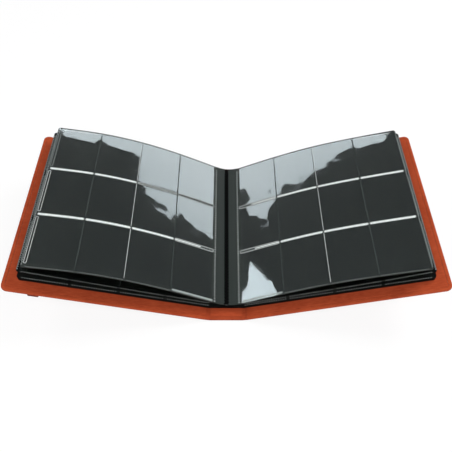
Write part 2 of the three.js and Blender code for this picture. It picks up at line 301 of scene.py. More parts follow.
# Grey and faint are darker copies of the same weld colour. A weld that is bright on the top leaf
# and grey or faint on the second gets that darkness as painted shade.
FAINT_WELD = plastic("faint_weld", rgb(54, 60, 58), 0.75, 0.1, 0.00003, 900,
                     Specular_IOR_Level=0.15)
GREY_WELD = plastic("grey_weld", rgb(150, 158, 156), 0.6, 0.1, 0.00003, 900,
                    Specular_IOR_Level=0.2)
MARGIN_SHEET = plastic("margin_sheet", rgb(38, 44, 42), 0.5, 0.1, 0.00003, 300,
                       Specular_IOR_Level=0.25)
BINDING = plastic("black_binding", rgb(6, 7, 7), 0.8, 0.12, 0.00006, 700,
                  Specular_IOR_Level=0.05)
SEAM_BASE = plastic("seam_base", rgb(74, 79, 78), 0.45, 0.1, 0.00004, 700,
                    Specular_IOR_Level=0.25)
print("plastic finishes ready")


# %% [markdown]
# The board is greyboard: dull, with darker fibres. It shows only where a panel is opened, but it is
# a real piece, so it gets its own finish. The elastic is woven, so its colour and height follow the
# ribs that run along it, which its own UV map carries. Its reds are darker than the cover's orange,
# which the strap shares: that darkness is painted shade.

# %% Board and elastic
BOARD, board_tree, board_shader = new_finish("greyboard", Roughness=0.9)
fibres = use_group(board_tree, mottle, Light=rgb(158, 150, 134), Dark=rgb(112, 104, 90),
                   Cloud_Scale=160, Streaks=0.5)
plug(board_tree, board_shader.inputs["Base Color"], fibres.outputs["Color"])

SHADED_ELASTIC, elastic_tree, elastic_shader = new_finish(
    "woven_elastic_painted_shade", Roughness=0.8, Sheen_Weight=0.3)
along = add_node(elastic_tree, "ShaderNodeUVMap", {"uv_map": "along"}).outputs[0]
ribs, picks = (
    add_node(elastic_tree, "ShaderNodeTexWave", {"bands_direction": direction}, Vector=along,
             Scale=scale, Distortion=distortion).outputs["Fac"]
    for direction, scale, distortion in (("Y", 0.5, 0.3), ("X", 0.25, 0.2)))
woven = mixed(elastic_tree, "FLOAT", 0.35, ribs, picks)
# Both reds of the weave are darker than the strap's own orange: painted shade.
plug(elastic_tree, elastic_shader.inputs["Base Color"],
     mixed(elastic_tree, "RGBA", woven, rgb(74, 28, 18), rgb(124, 50, 32)))
add_relief(elastic_tree, elastic_shader, woven, 0.7, 0.0002)
print("finishes:", len(bpy.data.materials))

# %% [markdown]
# ## Mesh helpers
#
# All shapes are worked out in millimetres and turned into metres at the last step. Two shapes come
# back again and again: a stack of rings, for panels with rounded edges, and a closed sheet with a
# top, a bottom and a wall round them.

# %% Mesh helpers
def finish_mesh(name, vertices, faces, material, sharp=35):
    """A mesh object in metres, with outward faces and soft shading below the sharp angle."""
    mesh = bpy.data.meshes.new(name)
    mesh.from_pydata((np.asarray(vertices, float) * MM).tolist(), [], faces)
    shape = bmesh.new()
    shape.from_mesh(mesh)
    bmesh.ops.recalc_face_normals(shape, faces=shape.faces)
    shape.to_mesh(mesh)
    shape.free()
    mesh.shade_smooth()
    mesh.set_sharp_from_angle(angle=math.radians(sharp))
    mesh.materials.append(material)
    return add_object(name, mesh)


def ring_stack(rings):
    """Vertices and faces of a solid whose rings all have the same number of points."""
    count = len(rings[0])
    faces = []
    for level in range(len(rings) - 1):
        low, high = level * count, (level + 1) * count
        for i in range(count):
            j = (i + 1) % count
            faces.append((low + i, low + j, high + j, high + i))
    faces.append(tuple(range(count))[::-1])
    faces.append(tuple((len(rings) - 1) * count + i for i in range(count)))
    return np.concatenate([np.asarray(ring, float) for ring in rings]), faces


def closed_sheet(top, bottom):
    """Vertices and faces between two grids of points, with a wall round their edge."""
    rows, columns = top.shape[:2]
    half = rows * columns
    index = np.arange(half).reshape(rows, columns)
    corners = [index[:-1, :-1], index[1:, :-1], index[1:, 1:], index[:-1, 1:]]
    faces = []
    for a, b, c, d in zip(*(corner.ravel().tolist() for corner in corners)):
        faces += [(a, b, c, d), (a + half, d + half, c + half, b + half)]
    rim = np.concatenate([index[0], index[1:, -1], index[-1, -2::-1], index[-2:0:-1, 0]]).tolist()
    for a, b in zip(rim, rim[1:] + rim[:1]):
        faces.append((a, b, b + half, a + half))
    return np.concatenate([top.reshape(-1, 3), bottom.reshape(-1, 3)]), faces


def joined(parts):
    """Several (vertices, faces) pairs as one."""
    vertices, faces, start = [], [], 0
    for points, polygons in parts:
        vertices.append(np.asarray(points, float))
        faces += [tuple(v + start for v in polygon) for polygon in polygons]
        start += len(points)
    return np.concatenate(vertices), faces


print("mesh helpers ready")

# %% [markdown]
# ## The case
#
# A cover is board with a skin glued round it and a lining in the opening. The skin is a tray: a
# flat outside, edges rounded over the board, and a turned-in border that frames the lining. Drawn
# as a stack of rings, each edge has its own radius. The board stays the frame's own solid.

# %% Case sizes
TILT = math.radians(16.1)
HINGE_X = 25.9
HALF_HEIGHT = 301.1 / 2
COVER_WIDTH = 287.8
COVER_CORNER = 9
CORNER_STEPS = 9
CREASE_COVER = 4.5
SPINE_HALF = HINGE_X - 2.5
TURN_IN = 5
HINGE_INSET = 0.6  # rings are drawn in by no more than this at a crease, where the lining runs on

# how far each ring of the skin lies inside the outline, and its height in the case's thickness
SKIN_RINGS = [
    (2.0, 0), (1.3, 0), (0.6, 0.12), (0.15, 0.5), (0, 1.1), (0, 2.9), (0.15, 3.5), (0.6, 3.88),
    (1.3, 4.0), (4.4, 4.0), (4.8, 3.94), (TURN_IN, 3.7), (TURN_IN, 3.02), (1.2, 3.02), (1.2, 0.82),
]
LINING_RINGS = [(5.9, 3.05), (5.25, 3.05), (5.25, 3.6), (5.5, 3.8), (6.1, 3.88), (7, 3.9)]


def cover_point(sign, out, y, height):
    """A point of a raised cover: out from the hinge, along the album and into the case."""
    cos, sin = math.cos(TILT), math.sin(TILT)
    return (sign * (HINGE_X + out * cos - height * sin), y, out * sin + height * cos)


def cover_outline(inset):
    """A cover's outline, square at the hinge and round at the fore edge."""
    low = CREASE_COVER + min(inset, HINGE_INSET)
    high, half = COVER_WIDTH - inset, HALF_HEIGHT - inset
    radius = max(COVER_CORNER - inset, 1.5)
    points = [(low, -half)]
    for start, middle in ((-90, -half + radius), (0, half - radius)):
        for step in range(CORNER_STEPS + 1):
            angle = math.radians(start + 90 * step / CORNER_STEPS)
            points.append((high - radius + radius * math.cos(angle),
                           middle + radius * math.sin(angle)))
    points.append((low, half))
    return points


print("cover", COVER_WIDTH, "x", 2 * HALF_HEIGHT, "mm")


# %% Covers
def cover_piece(name, sign, rings, material):
    """A cover's skin or lining from its list of rings."""
    levels = [[cover_point(sign, out, y, height) for out, y in cover_outline(inset)]
              for inset, height in rings]
    return finish_mesh(name, *ring_stack(levels), material)


def paint_board(node):
    """The frame's own solid keeps its shape and gets the finish of greyboard."""
    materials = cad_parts[node].data.materials
    materials.clear()
    materials.append(BOARD)


SIDES = (("left", -1), ("right", 1))
for side, sign in SIDES:
    body = f"{side}_cover"
    skin = cover_piece(f"{body}_skin_dressed", sign, SKIN_RINGS, SKIN)
    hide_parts(f"{body}_skin")
    lining = cover_piece(f"{body}_lining_dressed", sign, LINING_RINGS, LINING)
    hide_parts(f"{body}_lining")
    for piece, slot in ((skin, "cover_skin"), (lining, "cover_lining")):
        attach(piece, body)
    paint_board(f"{body}_board")
    print(body, "skin", len(skin.data.vertices), "vertices")


# %% Spine
def spine_piece(name, rings, material):
    """The spine's skin or lining, open to the creases on its long sides."""
    levels = []
    for inset, height in rings:
        x, y = SPINE_HALF - min(inset, HINGE_INSET), HALF_HEIGHT - inset
        levels.append([(-x, -y, height), (x, -y, height), (x, y, height), (-x, y, height)])
    return finish_mesh(name, *ring_stack(levels), material)


# The spine's skin gets the darker leather, which is painted shade.
spine_skin = spine_piece("spine_skin_dressed", SKIN_RINGS, SHADED_SPINE_SKIN)
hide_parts("spine_skin")
spine_lining = spine_piece("spine_lining_dressed", LINING_RINGS, LINING)
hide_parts("spine_lining")
for piece, slot in ((spine_skin, "cover_skin"), (spine_lining, "cover_lining")):
    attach(piece, "spine")
paint_board("spine_board")
print("spine", round(2 * SPINE_HALF, 1), "mm wide between its creases")

# %% [markdown]
# ## Hinge creases
#
# Between spine and cover there is no board: skin and lining are glued together, which leaves a
# valley that bends. It is one ribbon, and each of its points is tilted part of the way towards the
# cover, so it runs over a curve and not over a crack.

# %% Hinge creases
CREASE_SHAPE = [  # along the ribbon, its under side and its upper side
    (-4.2, 0.3, 3.8), (-3.0, 0.15, 3.85), (-2.2, 0.1, 3.7), (-1.2, 0.3, 3.35), (0, 0.5, 3.15),
    (1.2, 0.5, 3.1), (2.4, 0.4, 3.15), (3.6, 0.2, 3.4), (4.6, 0.12, 3.7), (5.6, 0.2, 3.85),
    (6.4, 0.3, 3.8),
]


def crease_point(sign, along, height):
    """A point of the ribbon: flat on the spine's side, tilted with the cover on the other."""
    if along <= 0:
        return sign * (HINGE_X + along), height
    turn = TILT * min(along / 3, 1)
    x = HINGE_X + along * math.cos(turn) - height * math.sin(turn)
    return sign * x, along * math.sin(turn) + height * math.cos(turn)


for side, sign in SIDES:
    y_rows = (-HALF_HEIGHT + 0.4, -HALF_HEIGHT + 1.4, HALF_HEIGHT - 1.4, HALF_HEIGHT - 0.4)
    bottom, top = (
        np.array([[(x, y, z) for y in y_rows]
                  for x, z in (crease_point(sign, row[0], row[face]) for row in CREASE_SHAPE)])
        for face in (1, 2))
    crease = finish_mesh(f"{side}_crease_dressed", *closed_sheet(top, bottom), CREASE, 50)
    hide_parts(f"{side}_hinge_crease")
    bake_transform(crease)
print("creases:", len(SIDES), "with", len(CREASE_SHAPE), "stations each")

# %% [markdown]
# ## The line of a leaf
#
# A raised leaf leaves the seam, rises and flattens out towards its fore edge. Its section is a
# curve, and the leaf is the same all along Y, as a bent sheet is. Each column of pockets has its
# own slope in its middle, and between them the slope changes steadily. A distance from the first
# weld and a height over the sheet then name any point on it.

# %% Leaf lines
COLUMNS, ROWS = 4, 3
PITCH = 66.5
ROW = 90.3
MARGIN = 20.2
LEAF_TAIL, LEAF_HEAD = -132.55, 141.35
LEAF_CORNER = 4.0
LEAF_HALF = 0.2  # half a sheet's thickness
FIRST_ROW = LEAF_TAIL + 1.5
LEAF_END = COLUMNS * PITCH + 3
SEAM_HEIGHT = 13
TOP_AXIS = (0, SEAM_HEIGHT)
SECOND_AXIS = (4.2, SEAM_HEIGHT - 1.9)
LEAF_SHAPES = {  # where it is bound, its rise at the first weld and its slope in each column
    "left_top_leaf": (TOP_AXIS, 6.3, (27.8, 23.8, 17.3, 9.9)),
    "right_top_leaf": (TOP_AXIS, 2.1, (24.6, 21.8, 16.5, 14.2)),
    "left_second_leaf": (SECOND_AXIS, 4.9, (17.7, 17.8, 17.9, 18)),
    "right_second_leaf": (SECOND_AXIS, 2.4, (17.5, 17.5, 18, 19.3)),
}


def curve_line(points, distances):
    """Distances, places and sideways directions along a section, ready for interpolation."""
    points, distances = np.asarray(points, float), np.asarray(distances, float)
    run = np.gradient(points, distances, axis=0)
    run /= np.linalg.norm(run, axis=1)[:, None]
    return {"s": distances, "x": points[:, 0], "z": points[:, 1], "nx": -run[:, 1], "nz": run[:, 0]}


def raised_line(axis, rise, slopes, step=2.0):
    """The section of a raised leaf, from the binding to its fore edge."""
    across = math.sqrt(MARGIN**2 - rise**2)
    distances = [*np.arange(-MARGIN, 0, step), 0]
    points = [(axis[0] + share * across, axis[1] + share * rise)
              for share in ((s + MARGIN) / MARGIN for s in distances)]
    middles = [(k + 0.5) * PITCH for k in range(COLUMNS)]
    count = int(LEAF_END / step)
    length = LEAF_END / count
    for k in range(count):
        slope = math.radians(np.interp((k + 0.5) * length, middles, slopes))
        x, z = points[-1]
        points.append((x + length * math.cos(slope), z + length * math.sin(slope)))
        distances.append((k + 1) * length)
    return curve_line(points, distances)


def on_leaf(line, sign, s, y, lift):
    """Points of the album for distances, Y places and heights over the sheet's middle."""
    s, y, lift = np.broadcast_arrays(np.asarray(s, float), y, lift)
    x, z, nx, nz = (np.interp(s, line["s"], line[key]) for key in ("x", "z", "nx", "nz"))
    return np.stack([sign * (x + lift * nx), y, z + lift * nz], axis=-1)


LINES = {name: raised_line(*shape) for name, shape in LEAF_SHAPES.items()}
for name, line in LINES.items():
    print(name, "fore edge at", round(line["x"][-1], 1), round(line["z"][-1], 1))


# %% Sheets that follow a line
def leaf_grid(line, s_values, v_values, border):
    """Distances and Y places of a grid over a leaf, drawn in at its round corners."""
    s_end = line["s"][-1] - border
    s_grid, v_grid = np.meshgrid(s_values, v_values, indexing="ij")
    into = np.clip(s_grid - (s_end - LEAF_CORNER), 0, LEAF_CORNER)
    draw_in = LEAF_CORNER - np.sqrt(np.maximum(LEAF_CORNER**2 - into**2, 0))
    low, high = LEAF_TAIL + border + draw_in, LEAF_HEAD - border - draw_in
    return s_grid, low + v_grid * (high - low)


def leaf_stations(start, end, step):
    """Distances along a leaf, closer together at its round corners."""
    corner = end - LEAF_CORNER
    straight_part = np.linspace(start, corner, max(2, int((corner - start) / step) + 1))
    turned = corner + LEAF_CORNER * np.sin(np.radians([20, 40, 60, 75, 90]))
    return np.concatenate([straight_part, turned])


def leaf_sheet(name, line, sign, s_values, v_count, lifts, material, wave=None, border=0.0):
    """A closed sheet between two heights over the line; a wave may lift its points."""
    s_grid, y_grid = leaf_grid(line, s_values, np.linspace(0, 1, v_count), border)
    extra = wave(s_grid, y_grid) if wave else 0
    bottom, top = (on_leaf(line, sign, s_grid, y_grid, lift + extra) for lift in lifts)
    return finish_mesh(name, *closed_sheet(top, bottom), material, 50)


print("a leaf is", round(MARGIN + LEAF_END, 1), "mm long")

# %% [markdown]
# ## Lower leaves
#
# Eight leaves lie on each cover. Each is fixed beside the binding block, runs flat over the spine,
# bends at the hinge and lies on the cover. It is one sheet.

# %% Lower leaves
PACK_BASE = 4.5
PACK_PITCH = 0.7
PACK_LEAVES = 8
BEND_RADIUS = 7
SEAM_HALF = 2.25
BLOCK_FOOT = (17, 4.3)  # half width and height of the binding block where it stands
BLOCK_SHOULDER = (4, 10.9)  # and below its top


def pack_line(height):
    """The section of a leaf that lies on its cover."""
    share = (height - LEAF_HALF - BLOCK_FOOT[1]) / (BLOCK_SHOULDER[1] - BLOCK_FOOT[1])
    root = BLOCK_FOOT[0] + share * (BLOCK_SHOULDER[0] - BLOCK_FOOT[0]) + 0.6
    bend = HINGE_X - height * math.tan(TILT / 2)
    turn = BEND_RADIUS * math.tan(TILT / 2)
    rest = MARGIN + LEAF_END + 2 * SEAM_HALF - bend
    points = [(x, height) for x in np.linspace(root, bend - turn, 5)]
    for angle in np.linspace(0, TILT, 6)[1:]:
        points.append((bend - turn + BEND_RADIUS * math.sin(angle),
                       height + BEND_RADIUS * (1 - math.cos(angle))))
    for length in np.linspace(turn, rest, 12)[1:]:
        points.append((bend + length * math.cos(TILT), height + length * math.sin(TILT)))
    distances = [0.0]
    for a, b in zip(points, points[1:]):
        distances.append(distances[-1] + math.dist(a, b))
    return curve_line(points, distances)


PACK_LINES = [pack_line(PACK_BASE + i * PACK_PITCH) for i in range(PACK_LEAVES)]
for side, sign in SIDES:
    for i, line in enumerate(PACK_LINES):
        node = f"{side}_leaf_{10 - i:02d}"
        stations = np.concatenate([np.linspace(0, 24, 13), leaf_stations(30, line["s"][-1], 60)])
        # The lower leaves get the darker stacked sheet, which is painted shade.
        leaf = leaf_sheet(f"{node}_sheet", line, sign, stations, 4, (-LEAF_HALF, LEAF_HALF),
                          SHADED_STACK_SHEET)
        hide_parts(node)
        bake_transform(leaf)
    print(side, "lower leaves:", len(PACK_LINES))

# %% [markdown]
# ## Ribbed welds
#
# The pockets are closed by welds pressed with a ribbed tool, which leaves rows of small ridges.
# Such a pattern repeats hundreds of times, so Geometry Nodes lays it out flat: one ridge, repeated
# along a column, then over the columns, then over the rows. It is then bent onto the leaf.

# %% Weld tree
weld_tree, weld_in, weld_out = new_group("ribbed_weld", [
    ("Geometry", "Geometry"), ("Ribs", "Int", 58), ("Rib Pitch", "Float", 1.1),
    ("Rib Size", "Vector", (0.4, 1.5, 0.2)), ("Slant", "Float", 0.0), ("Columns", "Int", 4),
    ("Column Pitch", "Float", PITCH), ("Rows", "Int", 1), ("Row Pitch", "Float", ROW),
    ("Start", "Vector", (0, 0, 0)), ("Material", "Material"),
], [("Geometry", "Geometry")], "Geometry")
given = weld_in.outputs


def repeated(shape, count, axis, pitch, start=(0, 0, 0), **placing):
    """A shape repeated along X or Y, as instances on the points of a line."""
    step = add_node(weld_tree, "ShaderNodeCombineXYZ", **{axis: pitch})
    points = add_node(weld_tree, "GeometryNodeMeshLine", {"mode": "OFFSET"}, Count=count,
                      Offset=step.outputs[0], Start_Location=start)
    return add_node(weld_tree, "GeometryNodeInstanceOnPoints", Points=points.outputs[0],
                    Instance=shape, **placing).outputs[0]


ridge = add_node(weld_tree, "GeometryNodeMeshIcoSphere", Radius=1.0, Subdivisions=1)
slanted = add_node(weld_tree, "ShaderNodeCombineXYZ", Z=given["Slant"])
one_band = repeated(ridge.outputs[0], given["Ribs"], "X", given["Rib Pitch"], given["Start"],
                    Scale=given["Rib Size"], Rotation=slanted.outputs[0])
all_columns = repeated(one_band, given["Columns"], "X", given["Column Pitch"])
all_rows = repeated(all_columns, given["Rows"], "Y", given["Row Pitch"])
realized = add_node(weld_tree, "GeometryNodeRealizeInstances", Geometry=all_rows)
painted = add_node(weld_tree, "GeometryNodeSetMaterial", Geometry=realized.outputs[0],
                   Material=given["Material"])
plug(weld_tree, weld_out.inputs[0], painted.outputs[0])
print("weld tree:", len(weld_tree.nodes), "nodes")


# %% Flat welds
def grown_mesh(tree, values):
    """Runs a tree with these input values and returns its vertices and faces."""
    host = add_object("host", bpy.data.meshes.new("host"))
    modifier = host.modifiers.new("grow", "NODES")
    modifier.node_group = tree
    for item in tree.interface.items_tree:
        if item.in_out == "INPUT" and item.name in values:
            modifier[item.identifier] = values[item.name]
    evaluated = host.evaluated_get(bpy.context.evaluated_depsgraph_get())
    grown = bpy.data.meshes.new_from_object(evaluated)
    points = np.array([v.co for v in grown.vertices], float)
    faces = [tuple(p.vertices) for p in grown.polygons]
    host.modifiers.remove(modifier)
    bpy.data.objects.remove(host)
    return points, faces


def flat_welds(ribs, pitch, size, slant, columns, rows, start, material):
    """A flat field of ridges: X is the distance from the first weld, Y the album's Y."""
    return grown_mesh(weld_tree, {
        "Ribs": ribs, "Rib Pitch": pitch, "Rib Size": size, "Slant": slant, "Columns": columns,
        "Rows": rows, "Start": start, "Material": material,
    })


def tail_to_head(part, start, pitch, spare):
    """A flat part repeated along Y from a start, as often as a leaf's height less spare allows."""
    points, faces = part
    x, y, z = start
    count = int((LEAF_HEAD - LEAF_TAIL - spare) / pitch)
    return joined([(points + np.array([x, y + k * pitch, z]), faces) for k in range(count)])


def bent(line, sign, part, lift):
    """Bends flat (vertices, faces) onto a leaf, at a height over its sheet."""
    points, faces = part
    return on_leaf(line, sign, points[:, 0], points[:, 1], points[:, 2] + lift), faces


def one_ridge(*half_sizes):
    """A single ridge at the origin, to be repeated."""
    return flat_welds(1, 1, half_sizes, 0, 1, 1, (0, 0, 0), WELD)


print("one ridge:", len(one_ridge(0.4, 1.5, 0.2)[1]), "faces")


# %% Flat bars and outlines
def flat_bar(points, width, height, closed=False):
    """A low bar with a rounded top that follows flat points."""
    points = np.asarray(points, float)
    ahead, behind = np.roll(points, -1, 0), np.roll(points, 1, 0)
    if not closed:
        ahead[-1], behind[0] = points[-1], points[0]
    run = ahead - behind
    run /= np.linalg.norm(run, axis=1)[:, None]
    side = np.stack([-run[:, 1], run[:, 0]], axis=1)
    section = [(-0.5, 0), (-0.38, 0.75), (0, 1), (0.38, 0.75), (0.5, 0)]
    loops = [np.column_stack([points + side * across * width, np.full(len(points), up * height)])
             for across, up in section]
    vertices = np.concatenate(loops)
    count, levels, faces = len(points), len(section), []
    for i in range(count if closed else count - 1):
        j = (i + 1) % count
        for k in range(levels):
            m = (k + 1) % levels
            faces.append((k * count + i, k * count + j, m * count + j, m * count + i))
    if not closed:
        faces.append(tuple(k * count for k in range(levels)))
        faces.append(tuple(k * count + count - 1 for k in range(levels))[::-1])
    return vertices, faces


def stadium(s_low, s_high, y_low, y_high, steps=6):
    """A long loop with round ends, drawn flat."""
    radius, middle = (s_high - s_low) / 2, (s_high + s_low) / 2
    points = []
    for turn, y in ((0, y_high - radius), (180, y_low + radius)):
        for k in range(steps + 1):
            angle = math.radians(turn + 180 * k / steps)
            points.append((middle + radius * math.cos(angle), y + radius * math.sin(angle)))
    return points


def straight(s_from, s_to, y_from, y_to, step=8):
    """Points on a straight flat line, close enough together to bend with the leaf."""
    count = max(2, int(math.dist((s_from, y_from), (s_to, y_to)) / step) + 1)
    return np.column_stack([np.linspace(s_from, s_to, count), np.linspace(y_from, y_to, count)])


def along_s(s_from, s_to, y, width, height):
    """A low bar across a leaf."""
    return flat_bar(straight(s_from, s_to, y, y), width, height)


def along_y(s, y_from, y_to, width, height):
    """A low bar from the tail towards the head."""
    return flat_bar(straight(s, s, y_from, y_to), width, height)


print("a pocket edge loop has", len(stadium(0, 2.4, 0, 86)), "points")

# %% [markdown]
# ## Pocket film
#
# The film is clear and thin, and its faint waves bend the reflections in it. Each pocket is a very
# shallow pillow between its welds, and a few long waves, from a fixed seed, run across it.

# %% Film waves
dice = np.random.default_rng(7)
WAVES = [  # turns per millimetre, steepness, heading and phase
    (rate, steepness, dice.uniform(0, 2 * math.pi), dice.uniform(0, 2 * math.pi))
    for rate, steepness in
    [(dice.uniform(0.03, 0.07), 0.0012) for _ in range(6)]
    + [(dice.uniform(0.12, 0.34), 0.0017) for _ in range(18)]
]
POCKET_TILTS = dice.uniform(-0.0045, 0.0045, (3, 4, 2))
PILLOW_HEIGHT = 0.15
WAVE_LIMIT = 0.14  # a wave lifts or lowers the pillow by no more than this
CALM_SHARE = 0.35  # the waves of the row at the tail are this much lower
WELD_REACH = 2.4  # from a weld's middle to where the pillow begins


def weld_rise(distance, reach):
    """0 on a weld, 1 from this far away from it, with a soft start and end."""
    share = np.clip((distance - WELD_REACH) / reach, 0, 1)
    return share * share * (3 - 2 * share)


def film_wave(seed_shift):
    """The film's height over its lowest place, in millimetres, for distances and Y places."""
    def wave(s, y):
        lift = np.zeros_like(s)
        for k, (rate, steepness, heading, phase) in enumerate(WAVES):
            travel = s * math.cos(heading) + y * math.sin(heading)
            lift += steepness / rate * np.sin(rate * travel + phase + seed_shift * (k + 1))
        into_column = np.clip(s, 0, COLUMNS * PITCH) % PITCH
        into_row = np.clip(y - FIRST_ROW, 0, ROWS * ROW) % ROW
        rise = weld_rise(np.minimum(into_column, PITCH - into_column), 14)
        rise = rise * weld_rise(np.minimum(into_row, ROW - into_row), 24)
        row = np.clip((y - FIRST_ROW) // ROW, 0, ROWS - 1).astype(int)
        column = np.clip(s // PITCH, 0, COLUMNS - 1).astype(int)
        tilt = POCKET_TILTS[row, column]
        lift += tilt[..., 0] * (into_column - PITCH / 2) + tilt[..., 1] * (into_row - ROW / 2)
        calm = np.where(row == 0, CALM_SHARE, 1.0)
        return (PILLOW_HEIGHT + calm * np.clip(lift, -WAVE_LIMIT, WAVE_LIMIT)) * rise

    return wave


sample = film_wave(0)(np.full(50, 30.0), np.linspace(-120, 120, 50))
print("film stands up to", round(float(sample.max()), 2), "mm over its lowest place")


# %% [markdown]
# ## Raised leaves
#
# The two raised leaves of each side are a black sheet, a clear film over it, and the welds between
# them: bright bands between the rows, a faint line at the quarter columns, a double line in the
# middle and a long narrow loop at the fore edge of a pocket. A top leaf can be turned over, so it
# has the same film and welds on its back. Each weld below is a flat part and its height over the
# sheet's middle, sorted into three finishes: bright, grey and faint. Bright carries a painted
# highlight. Where a weld is bright on the top leaf but grey or faint on the second, that is painted
# shade under the top leaf.

# %% Row welds
TAIL_DOTS = (19, 3.3, (0.62, 0.4, 0.35))  # dots in a column, their pitch and their half sizes
FINE_DOTS = (19, 3.3, (0.66, 0.32, 0.22))
# The smooth bright bar of a row weld is a painted highlight.
PLAIN_BANDS = {  # per row weld: where its smooth bright part starts, in columns from the gutter
    "left_top_leaf": (0.35, 2.0),
    "right_top_leaf": (0.4, 0.35),
}


def long_loop(s_low, s_high, y_low, y_high):
    """The rim of a row weld: two long sides, close enough together to bend, and round ends."""
    radius, y = (y_high - y_low) / 2, (y_high + y_low) / 2
    there = straight(s_low + radius, s_high - radius, y_low, y_low)
    back = straight(s_high - radius, s_low + radius, y_high, y_high)
    turns = [[(centre + way * radius * math.cos(a), y - way * radius * math.sin(a))
              for a in np.radians([60, 30, 0, -30, -60])]
             for centre, way in ((s_high - radius, 1), (s_low + radius, -1))]
    return np.concatenate([there, turns[0], back, turns[1]])


def row_welds(name, on_top, welds):
    """Between two rows: ribs, a faint plate, and in each column a rim round a smooth bar."""
    bands = flat_welds(14, 4.5, (0.55, 1.5, 0.16), -0.6, 4, 2, (3.2, FIRST_ROW + ROW, 0), GREY_WELD)
    welds["grey"].append((bands, 0.68))
    for row in range(1, ROWS):
        y = FIRST_ROW + row * ROW
        welds["faint"].append((along_s(0.6, COLUMNS * PITCH, y, 7.0, 0.14), 0.6))
        for column in range(COLUMNS):
            start, end = column * PITCH + 1.2, (column + 1) * PITCH - 1.2
            half = 2.5 if column == 0 else 1.6
            rim = flat_bar(long_loop(start, end, y - half, y + half), 0.65, 0.22, closed=True)
            # The rim is bright, with a painted highlight, on the top leaf, and grey, as painted
            # shade, on the second.
            welds["bright" if on_top else "grey"].append((rim, 0.64))
            start = max(start + 1, PLAIN_BANDS.get(name, (0, 0))[row - 1] * PITCH)
            if start < end:
                # The smooth bar is a painted highlight: a white line for the glint on the weld's
                # ridge.
                welds["bright"].append((along_s(start, end - 1, y, 1.8, 0.24), 0.66))


print("a rim has", len(long_loop(0, PITCH, 0, 3.2)), "points")


# %% Column welds
def column_welds(name, on_top, welds):
    """In each row: the double line in the middle, the quarter lines and the fore edge loop."""
    middle, fore = 2 * PITCH, COLUMNS * PITCH
    for row in range(ROWS):
        low = FIRST_ROW + row * ROW + (14 if row == 0 and not on_top else 2.6)
        high = FIRST_ROW + (row + 1) * ROW - 2.2
        welds["faint"] += [
            (along_y(middle - 0.7, low, high, 1.0, 0.2), 0.58),
            *((along_y(column * PITCH, low, high, 1.7, 0.12), 0.6) for column in (1, 3))]
        sharp_line = along_y(middle + 0.5, low, high, 0.5, 0.2)
        # The sharp line is bright, a painted highlight, on the top leaf and faint, as painted
        # shade, on the second.
        welds["bright" if on_top else "faint"].append((sharp_line, 0.58))
        if name != "right_top_leaf":
            rim = stadium(fore - 3.4, fore, low + 2.6, high - 2.8)
            loop = flat_bar(rim, 0.55, 0.3, closed=True)
            # The loop is bright, with a painted highlight, in the top leaf's two lower rows; in the
            # head row and on the second leaf it is grey, with no painted highlight.
            welds["bright" if on_top and row < 2 else "grey"].append((loop, 0.6))


print("quarter lines at", PITCH, "and", 3 * PITCH, "mm")

# %% Edge welds
DOT_PITCH = 3.6


def edge_welds(on_top, welds):
    """Along the leaf's own edges: lines at the gutter, head and fore edge, and rows of dots."""
    head, tail = FIRST_ROW + ROWS * ROW - 3.4, FIRST_ROW + 2.1
    dots, lift = (FINE_DOTS, 0.6) if on_top else (TAIL_DOTS, 0.35)
    dots = flat_welds(*dots, 0.0, 4, 1, (2.6, FIRST_ROW - 0.1, 0), WELD)
    fore_dots = tail_to_head(one_ridge(0.35, 0.8, 0.2), (LEAF_END - 1.4, LEAF_TAIL + 5, 0),
                             DOT_PITCH, 10)
    # The dots, the fore edge dots and the short line at the head get the bright weld colour, with
    # its painted highlight.
    welds["bright"] += [(dots, lift), (fore_dots, 0.35),
                        (along_s(3.08 * PITCH, 3.9 * PITCH, head, 1.1, 0.2), 0.66)]
    welds["faint"] += [(along_s(0.6, LEAF_END - 4, LEAF_HEAD - 1.6, 1.9, 0.12), 0.58),
                       (along_y(1.7, LEAF_TAIL + 1, LEAF_HEAD - 1, 2.2, 0.12), 0.58)]
    welds["grey"].append((along_y(LEAF_END - 0.5, LEAF_TAIL + 4, LEAF_HEAD - 4, 0.5, 0.25), 0.2))
    if on_top:
        band = flat_welds(52, 1.2, (0.3, 1.25, 0.12), -0.5, 1, 1, (2.4, tail, 0), GREY_WELD)
        welds["grey"] += [(band, 0.7), (along_s(1.5, PITCH - 2, tail, 2.8, 0.16), 0.62)]


print("fore edge dots every", DOT_PITCH, "mm")

# %% Dress the raised leaves
FILM_BORDER = {"top": 1.0, "second": 3.5}  # the black sheet shows this much round the film
FILM_LIFTS = (0.42, 0.6)  # the film's under and upper side, over the sheet's middle
FILM_SHIFTS = {"left": 0.7, "right": 2.1, "back": 3.3}  # so that no two films have the same waves


